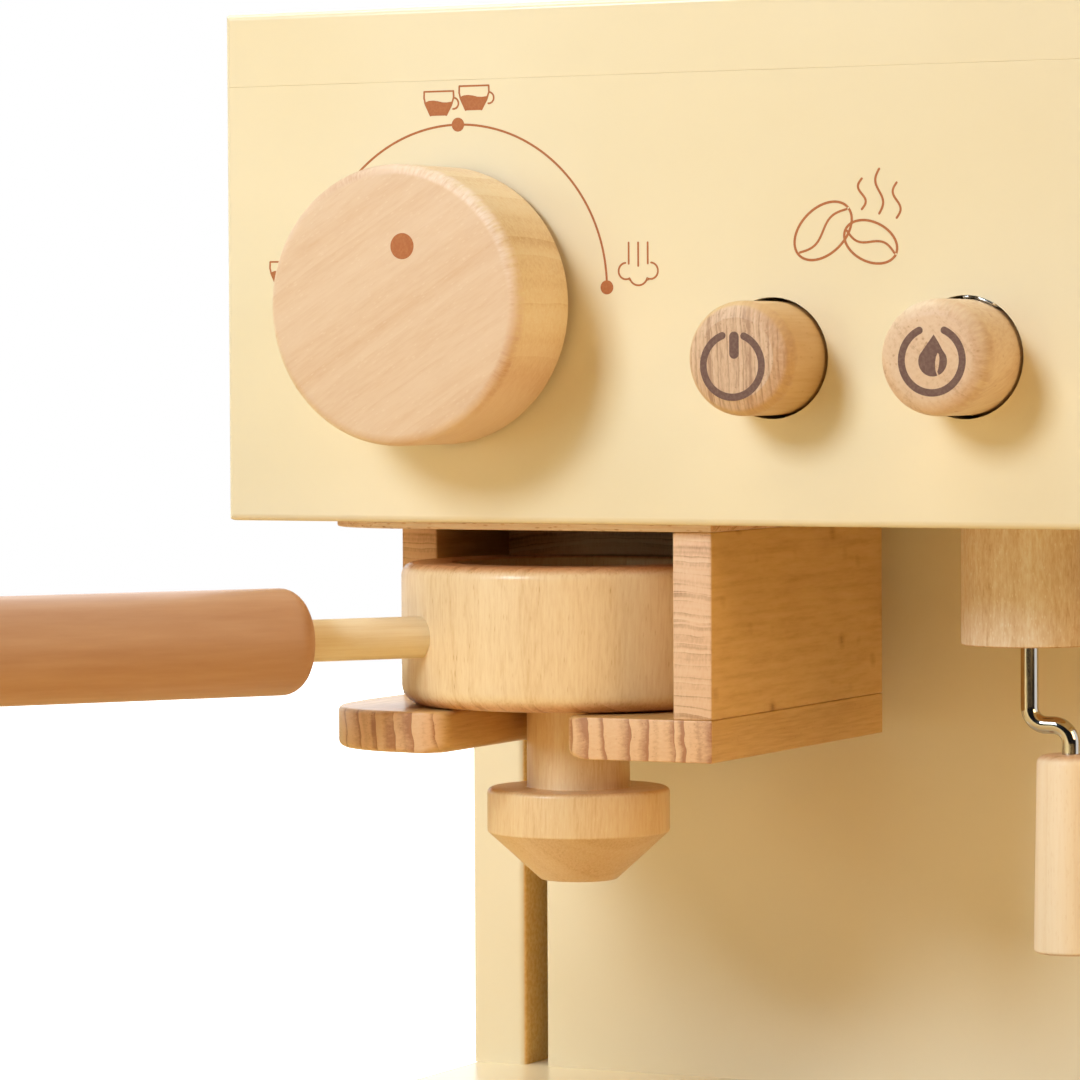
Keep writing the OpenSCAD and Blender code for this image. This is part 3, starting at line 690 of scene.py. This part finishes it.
# The bright end of a wire shows in the gap over the water button: it lies against the hole's
# wall. Rows: angle, depth behind the front
WIRE_END = ((104, 9.0), (97, 4.0), (92, 0.7), (88, 0.6), (83, 2.6), (79, 0.6), (74, -0.15),
                (68, -0.2), (62, -0.1), (58, 0.5), (54, 3.0), (48, 9.0))
WIRE_END_R, WIRE_END_D, WIRE_END_STEPS = 12.8, 0.7, 4
axis = along_front("water_button")[0]
front_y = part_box("front_board")[0].y
wire_end = []
for (from_angle, from_depth), (to_angle, to_depth) in zip(WIRE_END, WIRE_END[1:]):
    for k in range(WIRE_END_STEPS):
        share = k / WIRE_END_STEPS
        angle = math.radians(from_angle + (to_angle - from_angle) * share)
        depth = from_depth + (to_depth - from_depth) * (1 - math.cos(math.pi * share)) / 2
        wire_end.append(Vector((axis.x + WIRE_END_R * MM * math.cos(angle),
                                front_y + depth * MM,
                                axis.z + WIRE_END_R * MM * math.sin(angle))))
piece("water_button_wire_end", wire(wire_end, WIRE_END_D, sides=16), WIRE, "machine")

# ---------- filter ----------

foot, basket_r, basket_h = upright("filter_basket")
tenon_r, tenon_l, hollow_r, hollow_h = 8.08, 11.3, basket_r - 12.3, 12.0
basket_beech = timber("basket_beech_oiled", at=foot, grain=(0, 0.05, 1), layers=(0.9, -0.4, 0),
                      ring=4.0, heart=160, rings=0.18, lines=0.06, late=2.5, fading=0.6,
                      fibres=0.42, fibre_size=(6, 0.6, 0.6), flecks=0.24,
                      fleck_size=(3.2, 0.55, 0.55), fleck_share=0.2, **OILED, **OIL_COAT)
piece("basket", turned([(0, tenon_l, 0), (tenon_r, tenon_l, 0), (tenon_r, 0, 0.4),
                        (basket_r, 0, 4.5), (basket_r, basket_h, 3.0),
                        (hollow_r, basket_h, 1.0), (hollow_r, basket_h - hollow_h, 1.5),
                        (0, basket_h - hollow_h, 0)], foot, UP),
      basket_beech, "filter", ["filter_basket"])

# The cone ends in a blunt tip. The neck's tenon is the pin that the basket turns on
CONE_TIP_R, CONE_H, RIM_TOP, NECK_R, NECK_TENON_R = 8.8, 11.2, 21.3, 11.9, 8.0
foot, spout_r, spout_h = upright("spout")
# Oiled like the basket, with pale flecks and a plainer end grain
spout_beech = timber("spout_beech_oiled", at=foot, grain=(0.03, 0, 1), layers=(0.8, -0.6, 0),
                     ring=3.5, heart=120, rings=0.16, lines=0.06, end_lines=0.06, late=2.5,
                     fading=0.6, fibres=0.45, fibre_size=(5, 0.5, 0.5), flecks=-0.2,
                     fleck_size=(2.6, 0.5, 0.5), fleck_share=0.3,
                     tones=("F4DAAB", "EECD9C", "E0B781", "BF9059"),
                     end_tones=("E8C591", "DEB57E", "C89A64"), **OIL_COAT)
piece("neck_and_spout",
      turned([(0, 0, 0), (CONE_TIP_R, 0, 0.8), (spout_r, CONE_H, 0.8), (spout_r, RIM_TOP, 1.2),
              (NECK_R, RIM_TOP, 0.3), (NECK_R, spout_h - tenon_l, 0.3),
              (NECK_TENON_R, spout_h - tenon_l, 0), (NECK_TENON_R, spout_h, 0.5),
              (0, spout_h, 0)], foot, UP),
      spout_beech, "slider", ["spout"])

# Handle: its axis runs level from the spout's axis through the middle of the grip
low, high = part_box("handle_grip")
grip_middle = (low + high) / 2
handle_axis = Vector((grip_middle.x - foot.x, grip_middle.y - foot.y, 0)).normalized()
level = Vector((foot.x, foot.y, grip_middle.z))
ROD_R, GRIP_FROM, GRIP_L, GRIP_R, GRIP_BORE = 4.75, 70.5, 93.0, 12.0, 25.0
ROD_FROM, ROD_TO = basket_r - 10, GRIP_FROM + GRIP_BORE
# A birch dowel is pale cream with faint lines
rod_birch = timber("handle_rod_birch", at=level, grain=handle_axis, layers=(0, 0, 1), ring=2.5,
                   heart=80, rings=0.2, lines=0.12, fibres=0.3, flecks=0.05,
                   tones=("F5E8C9", "EFDDBA", "E4CDA1", "CCAE7E"),
                   end_tones=("E2C491", "D3B07A", "BC9560"))
piece("handle_dowel", turned([(0, ROD_FROM, 0), (ROD_R, ROD_FROM, 0), (ROD_R, ROD_TO, 0),
                              (0, ROD_TO, 0)], level, handle_axis, sides=64),
      rod_birch, "filter", ["handle_rod"])
piece("handle_grip_turned",
      turned([(0, ROD_TO, 0), (ROD_R, ROD_TO, 0), (ROD_R, GRIP_FROM, 0.3),
              (GRIP_R, GRIP_FROM, 5.0), (GRIP_R, GRIP_FROM + GRIP_L, 5.0),
              (0, GRIP_FROM + GRIP_L, 0)], level, handle_axis),
      lacquered_beech("brown_lacquered_beech", handle_axis, "C49875", "B98A67"), "filter",
      ["handle_grip"])

# ---------- steam wand ----------

foot, boss_r, boss_h = upright("steam_boss")
# Turned and left a little rough: strong fibres and pale flecks
boss_beech = timber("boss_beech_turned", at=foot, grain=(0, 0, 1), layers=(1, -0.3, 0), ring=4.5,
                    heart=120, rings=0.3, lines=0.1, late=1.6, fibres=0.6,
                    fibre_size=(3.0, 0.7, 0.7), flecks=-0.3, fleck_size=(1.6, 0.6, 0.6),
                    fleck_share=0.5, relief=0.08,
                    tones=("F7ECDD", "EBD7BE", "DDC19E", "BA9871"),
                    end_tones=("E9C08A", "DDAE76", "BF8A52"))
BOSS_TENON, BOSS_BORE = 8.0, 2.08
boss_drop = (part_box("head_floor")[0].z - foot.z) / MM
piece("wand_boss", turned([(BOSS_BORE, 0, 0.2), (boss_r, 0, 0.5), (boss_r, boss_drop, 0),
                           (BOSS_TENON, boss_drop, 0), (BOSS_TENON, boss_h, 0),
                           (BOSS_BORE, boss_h, 0)], foot, UP),
      boss_beech, "machine", ["steam_boss"])

WAND_D, BEND_R, BEND_STEPS, WAND_DROP = 4.0, 4.0, 12, 14
rod_low, rod_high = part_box("wand_rod")
step = (rod_high.x - rod_low.x) - WAND_D * MM
bend, turn_z = BEND_R * MM, foot.z - WAND_DROP * MM
quarter = [math.pi / 2 * k / BEND_STEPS for k in range(BEND_STEPS + 1)]
rod_path = [(foot.x, rod_high.z), (foot.x, foot.z)]
rod_path += [(foot.x + bend - bend * math.cos(angle), turn_z - bend * math.sin(angle))
             for angle in quarter]
rod_path += [(foot.x + step - bend + bend * math.sin(angle),
              turn_z - 2 * bend + bend * math.cos(angle)) for angle in quarter]
rod_path += [(foot.x + step, rod_low.z)]
piece("wand_bent_rod", wire([Vector((x, foot.y, z)) for x, z in rod_path], WAND_D, sides=48),
      CHROME, "wand", ["wand_rod"])
grip_foot, grip_r, grip_h = upright("wand_grip")
# Sanded smooth: an even cream with faint fibres
wand_beech = timber("wand_grip_beech", at=grip_foot, grain=(0, 0.02, 1),
                    layers=(0.5, -0.8, 0), ring=3.0, heart=50, rings=0.15, lines=0.08,
                    fibres=0.2, flecks=0.12,
                    tones=("FAEAD2", "F5E1C3", "EBD0AC", "D2AF88"),
                    end_tones=("E6C6A0", "DCB68C", "C79C70"))
GRIP_TAPER, WAND_SOCKET = 0.7, 20
piece("wand_handle", turned([(0, 0, 0), (grip_r, 0, 1.0), (grip_r - GRIP_TAPER, grip_h, 2.2),
                             (WAND_D / 2, grip_h, 0.2), (WAND_D / 2, grip_h - WAND_SOCKET, 0),
                             (0, grip_h - WAND_SOCKET, 0)], grip_foot, UP),
      wand_beech, "wand", ["wand_grip"])

# ---------- springs ----------

# The first and last three quarters of a turn lie flat. COIL_SEAT is the room from the
# spring's ends and outside to the middle of its wire
COIL_TURNS, TURN_STEPS, FLAT_TURNS, COIL_D, COIL_SEAT = 6, 32, 0.75, 1.15, 0.6
for body in ("power", "water"):
    node = body + "_spring"
    low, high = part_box(node)
    middle = (low + high) / 2
    around = (high.x - low.x) / 2 - COIL_SEAT * MM
    path = []
    for k in range(COIL_TURNS * TURN_STEPS + 1):
        share = k / (COIL_TURNS * TURN_STEPS)
        rise = (share * COIL_TURNS - FLAT_TURNS) / (COIL_TURNS - 2 * FLAT_TURNS)
        rise = min(1.0, max(0.0, rise))
        angle = 2 * math.pi * COIL_TURNS * share
        path.append(Vector((middle.x + around * math.cos(angle),
                            low.y + COIL_SEAT * MM + (high.y - low.y - 2 * COIL_SEAT * MM) * rise,
                            middle.z + around * math.sin(angle))))
    coil = piece(node + "_coil", wire(path, COIL_D, sides=12), WIRE, "machine",
                 [node])
    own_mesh(coil)

# ---------- inner wood and fasteners ----------

inner_beech = timber("inner_beech_sawn", at=Vector(), grain=(1, 0, 0), layers=(0, 0.2, 1),
                     Roughness=0.7, **BEECH)
keep(("board_dowels", "button_guide", "knob_shaft", "knob_disc", "power_collar",
      "water_collar"), inner_beech)
keep(("wand_collar",), WIRE)
keep(("holder_screws", "knob_screw"), ZINC)
cross_screws("back_wood_screws", "back_screws", -FRONT)
cross_screws("base_wood_screws", "base_screws", -UP)

# ---------- printed signs ----------

# A real film is thinner: PRINT_LIFT keeps it clear of the face it lies on, and PRINT_STEP
# keeps films that touch at heights of their own. PRINT_SINK hides its back under the face
PRINT_LIFT, PRINT_STEP, PRINT_SINK = 0.03, 0.004, 0.02


def arc(centre, radius, first, last, steps=24, squeeze=1.0, tilt=0.0):
    """Points of an arc between two angles in degrees; squeeze flattens it, tilt turns it."""
    points = []
    for k in range(steps + 1):
        angle = math.radians(first + (last - first) * k / steps)
        x, y = radius * math.cos(angle), radius * squeeze * math.sin(angle)
        lean = math.radians(tilt)
        points.append((centre[0] + x * math.cos(lean) - y * math.sin(lean),
                       centre[1] + x * math.sin(lean) + y * math.cos(lean)))
    return points


def stroke(points, width):
    """Outline of a line of even width with round ends."""
    points = [Vector(p) for p in points]
    sides = ([], [])
    for i, point in enumerate(points):
        run = (points[min(i + 1, len(points) - 1)] - points[max(i - 1, 0)]).normalized()
        over = Vector((-run.y, run.x)) * width / 2
        sides[0].append(point + over)
        sides[1].append(point - over)
    caps = []
    for end, inner in ((points[-1], points[-2]), (points[0], points[1])):
        way = math.atan2(*(end - inner).yx)
        caps.append([end + width / 2 * Vector((math.cos(way + math.pi * (0.5 - k / 8)),
                                               math.sin(way + math.pi * (0.5 - k / 8))))
                     for k in range(1, 8)])
    return sides[0] + caps[0] + sides[1][::-1] + caps[1]


def dot(x, y, radius, steps):
    """Outline of a round dot."""
    return arc((x, y), radius, 0, 360, steps)[:-1]


def printed(name, shapes, corner, look, body):
    """Thin printed film on a face that looks to the front.

    shapes are closed outlines, in millimetres right and up from corner.
    """
    form = bmesh.new()
    for order, shape in enumerate(shapes):
        outline = [Vector((x, y, 0)) for x, y in shape]
        lift = (PRINT_LIFT + PRINT_STEP * (order % 6)) * MM
        top, back = ([form.verts.new(corner + Vector((p.x * MM, y, p.y * MM))) for p in outline]
                     for y in (-lift, PRINT_SINK * MM))
        for triangle in tessellate_polygon([outline]):
            form.faces.new([top[k] for k in triangle])
            form.faces.new([back[k] for k in reversed(triangle)])
        for k in range(len(outline)):
            n = (k + 1) % len(outline)
            form.faces.new((top[k], top[n], back[n], back[k]))
    piece(name, form, look, body)


def cup(x, y):
    """Outlines of a cup of coffee in side view, with its rim's left end at x, y."""
    line = 0.4
    bowl = [(0, 0), (-0.06, -1.4), (0.25, -2.7), (1.55, -5.3), (5.5, -5.3), (6.75, -3.15),
            (7.35, -1.5), (7.3, 0)]
    body = [(0.25, -2.35), (1.1, -2.05), (2.2, -1.98), (3.4, -2.15), (4.6, -2.45), (5.7, -2.5),
            (6.95, -2.35), (6.7, -3.2), (5.5, -5.4), (1.55, -5.4), (0.3, -2.9)]
    return [stroke([(x + a, y + b) for a, b in bowl[:4]], line),
            stroke([(x + a, y + b) for a, b in bowl[4:]], line),
            stroke([(x, y), (x + 7.3, y)], line),
            [(x + a, y + b) for a, b in body],
            stroke(arc((x + 7.3, y - 2.75), 1.25, 75, -95, 12), line)]


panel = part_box("front_board")[0]
DIAL_MIDDLE, DIAL_R = (59.6, 52.0), 36.5
dots = [dot(*place, 1.55, 32) for place in arc(DIAL_MIDDLE, DIAL_R, 0, 180, 2)]
puff = (arc((100.75, 55.5), 1.8, 95, 300, 16) + arc((103.75, 54.55), 2.2, 200, 340, 14)
        + arc((106.65, 55.5), 1.8, -120, 85, 16))
STEAM_LINE, STEAM_TOP = 0.42, 61.7
steam_sign = [stroke(puff, STEAM_LINE)] + [
    stroke([(x, STEAM_TOP), (x, y)], STEAM_LINE)
    for x, y in ((101.4, 57.1), (103.7, 56.6), (106.0, 57.1))]
printed("dial_scale_print", [stroke(arc(DIAL_MIDDLE, DIAL_R, 0, 180, 96), 0.5)] + dots
        + cup(51.2, 96.0) + cup(60.0, 97.0) + cup(11.5, 58.7) + steam_sign,
        panel, TERRACOTTA, "machine")

# A plain ornament of two coffee beans and three wisps of aroma
beans = []
for middle, length, lean in (((147.5, 63.5), 7.6, 40), ((158.5, 61.0), 6.4, -24)):
    beans.append(stroke(arc(middle, length, 0, 358, 60, squeeze=0.66, tilt=lean), 0.55))
    cosine, sine = math.cos(math.radians(lean)), math.sin(math.radians(lean))
    slit = []
    for k in range(25):
        t = -1 + k / 12
        a, b = t * length * 0.93, 1.1 * math.sin(math.pi * t)
        slit.append((middle[0] + a * cosine - b * sine, middle[1] + a * sine + b * cosine))
    beans.append(stroke(slit, 0.5))
for x, low_z, high_z in ((156.5, 68.0, 74.5), (160.5, 67.0, 76.5), (164.5, 66.0, 73.5)):
    wisp = [(x + 0.9 * math.sin(2 * math.pi * k / 24), low_z + (high_z - low_z) * k / 24)
            for k in range(25)]
    beans.append(stroke(wisp, 0.5))
printed("bean_print", beans, panel, TERRACOTTA, "machine")

printed("knob_mark", [dot(2.7, 12.75, 2.85, 48)], along_front("knob")[0], TERRACOTTA, "dial")
printed("power_sign", [stroke(arc((-0.7, -1.5), 6.75, 110, 427, 60), 1.55),
                       stroke([(-0.3, 4.6), (-0.3, 1.0)], 2.2)],
        along_front("power_button")[0], BROWN_INK, "power")
# The drop's glint is a notch that opens at the bottom
drop = ([(0.55, 4.75), (-0.6, 3.2), (-1.9, 1.5)] + arc((0.3, -0.8), 3.2, 155, 289, 14)
        + [(1.0, -3.0), (0.85, -2.0), (0.85, -0.9), (1.05, 0.1), (1.4, 0.9), (1.7, 0.7),
           (1.85, -0.3), (1.75, -1.4), (1.55, -2.4), (1.35, -3.0)]
        + arc((0.3, -0.8), 3.2, 295, 385, 12) + [(2.5, 1.5), (1.5, 3.3)])
printed("water_sign", [stroke(arc((0.1, -0.6), 6.8, 114, 426, 60), 1.55), drop],
        along_front("water_button")[0], BROWN_INK, "water")

# ---------- floor, light and camera ----------

# Sizes and places of the floor, the lamps and the camera are in metres
FLOOR_HALF = 1.7
paper, tree, shader, place = start_material("white_studio_paper", Roughness=0.9)
seen = add(tree, "LightPath").outputs
# The toy stands in a warm room: what bounces up from the paper is warm too
tone = add(tree, "Mix", {"Factor": seen["Is Camera Ray"], 6: linear("F0CE90"),
                         7: linear("F2F1EE")}, data_type="RGBA")
tree.links.new(tone.outputs[2], shader.inputs["Base Color"])
# The paper sweeps up to the white wall: it whitens away from the toy, and keeps its shadow
away = add(tree, "VectorMath", {0: place["Object"]}, operation="LENGTH")
paler = add(tree, "MapRange", {0: away.outputs["Value"], 1: 0.2, 2: 0.9, 3: 0.55, 4: 1.0})
lit = add(tree, "Math", {0: seen["Is Camera Ray"], 1: paler}, operation="MULTIPLY")
shader.inputs["Emission Color"].default_value = (1, 1, 1, 1)
tree.links.new(lit.outputs[0], shader.inputs["Emission Strength"])
form = bmesh.new()
bmesh.ops.create_grid(form, x_segments=8, y_segments=8, size=FLOOR_HALF)
put_form("studio_floor", form, paper)

world = bpy.data.worlds.new("studio")
bpy.context.scene.world = world
world.use_nodes = True
sky = world.node_tree
sky.nodes.clear()
seen = add(sky, "LightPath").outputs
shown = seen["Is Camera Ray"]
for ray in ("Is Glossy Ray", "Is Transmission Ray"):
    shown = add(sky, "Math", {0: shown, 1: seen[ray]}, operation="MAXIMUM")
# Reflections see the white wall behind the toy, and on the camera's side a dark room with a
# pale window at its left
way = add(sky, "TexCoord")
way = add(sky, "SeparateXYZ", {"Vector": way.outputs["Generated"]})
wall = add(sky, "MapRange", {0: way.outputs["Y"], 1: -0.1, 2: 0.05})
across = add(sky, "MapRange", {0: way.outputs["X"], 1: -1.0, 2: 1.0})
room = add(sky, "ValToRGB", {"Fac": across},
           stops=((0.0, "5A4A3A"), (0.045, "D8D0C4"), (0.18, "D8D0C4"), (0.24, "2A2018"),
                  (0.5, "1E1812"), (1.0, "2A2018")))
room = add(sky, "Math", {0: room, 1: wall}, operation="MAXIMUM")
bright = add(sky, "Math", {0: seen["Is Camera Ray"], 1: room}, operation="MAXIMUM")
soft = add(sky, "Background", {"Color": (1, 0.78, 0.42, 1), "Strength": 0.06})
white = add(sky, "Background", {"Color": (1, 1, 1, 1), "Strength": bright})
both = add(sky, "MixShader", {0: shown, 1: soft, 2: white})
add(sky, "OutputWorld", {"Surface": both})


def softbox(name, place, aim, size, power, colour=(1, 1, 1)):
    """A square soft light that faces its aim."""
    data = bpy.data.lights.new(name, "AREA")
    data.color = colour
    data.size = size
    data.energy = power
    lamp = put(name, data)
    lamp.location = place
    lamp.rotation_mode = "QUATERNION"
    lamp.rotation_quaternion = (Vector(aim) - Vector(place)).to_track_quat("-Z", "Y")


HEAD_MIDDLE = (0, -0.09, 0.16)
softbox("key_light", (-0.65, -1.69, 1.06), HEAD_MIDDLE, 0.55, 24.5, (0.78, 0.89, 1))
softbox("left_light", (-0.816, -0.309, 1.97), HEAD_MIDDLE, 0.9, 20, (1, 1, 0.88))
softbox("low_light", (-0.995, -1.812, 0.37), HEAD_MIDDLE, 0.7, 3.2, (1, 0.95, 0.6))
softbox("right_light", (1.791, -0.57, 0.909), HEAD_MIDDLE, 0.9, 14.5, (1, 0.67, 0.34))
softbox("back_light", (-0.6, 1.6, 1.2), (0, 0, 0.15), 2.0, 16)

# The camera stands to the right of the toy's front and looks slightly down
YAW, DIP, ROLL = math.radians(26.403), math.radians(2.103), math.radians(-0.293)
CAMERA_PLACE = (0.43688, -1.05172, 0.19386)
ahead = Vector((-math.sin(YAW) * math.cos(DIP), math.cos(YAW) * math.cos(DIP), -math.sin(DIP)))
level_right = Vector((math.cos(YAW), math.sin(YAW), 0))
level_up = level_right.cross(ahead)
right = math.cos(ROLL) * level_right + math.sin(ROLL) * level_up
up = -math.sin(ROLL) * level_right + math.cos(ROLL) * level_up
lens = bpy.data.cameras.new("camera")
lens.lens, lens.sensor_width = 162.08, 36.0
camera = put("camera", lens)
camera.matrix_world = Matrix.Translation(CAMERA_PLACE) @ Matrix(
    (right, up, -ahead)).transposed().to_4x4()
bpy.context.scene.camera = camera
bpy.context.scene.view_settings.view_transform = "Standard"
